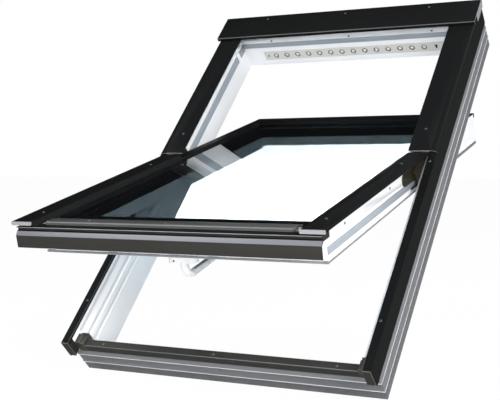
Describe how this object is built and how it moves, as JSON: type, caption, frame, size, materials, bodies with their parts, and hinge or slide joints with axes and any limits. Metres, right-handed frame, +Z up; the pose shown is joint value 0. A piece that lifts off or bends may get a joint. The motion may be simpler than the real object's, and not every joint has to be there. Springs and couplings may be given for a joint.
{
  "type": "roof window",
  "caption": "Centre-pivot roof window with frame: glazed sash swung open about a level mid-height axis, dark metal covers, vent strip, and a handle with latch on the bottom rail.",
  "frame": {"origin": "middle of the sill's back face, half way between the sill's outer and inner edge", "axes": "+X to the right seen from outside, +Y back into the roof, +Z up; the window plane is tilted 45 degrees about X"},
  "size_m": [0.786, 1.1641, 0.9468],
  "materials": {
    "white_plastic": "satin white plastic",
    "grey_casing": "matt grey",
    "dark_cover": "satin black-brown coating",
    "dark_plastic": "matt brown-black",
    "grey_plastic": "matt light grey",
    "grey_seal": "matt blue-grey",
    "black_rubber": "matt black",
    "glass": "clear",
    "hinge_metal": "yellow passivated",
    "steel": "bright"
  },
  "bodies": {
    "frame": {"left_jamb": "white_plastic", "right_jamb": "white_plastic", "head": "white_plastic", "sill": "white_plastic", "left_casing": "grey_casing", "right_casing": "grey_casing", "top_casing": "grey_casing", "bottom_casing": "grey_casing", "left_side_cover": "dark_cover", "right_side_cover": "dark_cover", "left_end_cap": "dark_plastic", "right_end_cap": "dark_plastic", "left_upper_cover": "dark_cover", "right_upper_cover": "dark_cover", "upper_cover_plugs": "grey_plastic", "hood": "dark_cover", "hood_rail": "grey_plastic", "sill_cover": "dark_cover", "left_corner_block": "dark_plastic", "right_corner_block": "dark_plastic", "left_frame_seal": "grey_seal", "right_frame_seal": "grey_seal", "top_frame_seal": "grey_seal", "lower_gaskets": "grey_seal", "vent_strip": "grey_plastic", "left_hinge_track": "hinge_metal", "right_hinge_track": "hinge_metal", "latch_keep": "steel", "frame_screws": "steel"},
    "sash": {"left_stile": "white_plastic", "right_stile": "white_plastic", "top_rail": "white_plastic", "bottom_rail": "white_plastic", "left_sash_cover": "dark_cover", "right_sash_cover": "dark_cover", "left_sash_end_cap": "grey_plastic", "right_sash_end_cap": "grey_plastic", "left_upper_sash_cover": "dark_cover", "right_upper_sash_cover": "dark_cover", "top_rail_cover": "dark_cover", "bottom_rail_cover": "dark_cover", "glazing_bar": "dark_cover", "outer_pane": "glass", "spacer": "black_rubber", "inner_pane": "glass", "glazing_gaskets": "black_rubber", "left_sash_seal": "grey_seal", "right_sash_seal": "grey_seal", "sash_edge_gaskets": "grey_seal", "left_hinge_arm": "hinge_metal", "right_hinge_arm": "hinge_metal", "sash_screws_set": "steel", "handle_base": "white_plastic"},
    "handle": {"handle_lever": "white_plastic"},
    "latch": {"latch_bolt": "steel"}
  },
  "joints": [
    {"name": "sash_pivot", "type": "hinge", "parent": "frame", "child": "sash", "pos_m": [0, 0.31714, 0.51513], "axis": [-1, 0, 0], "range_deg": [-31.6, 128.4]},
    {"name": "handle_turn", "type": "hinge", "parent": "sash", "child": "handle", "pos_m": [0, -0.20305, 0.28223], "axis": [0, -0.2317, 0.9728], "range_deg": [0, 90]},
    {"name": "latch_slide", "type": "slide", "parent": "sash", "child": "latch", "axis": [0, -0.9728, -0.2317], "range_m": [0, 0.018]}
  ],
  "couplings": [
    {"joint": "latch_slide", "follows": "handle_turn", "m_per_rad": 0.011459}
  ]
}
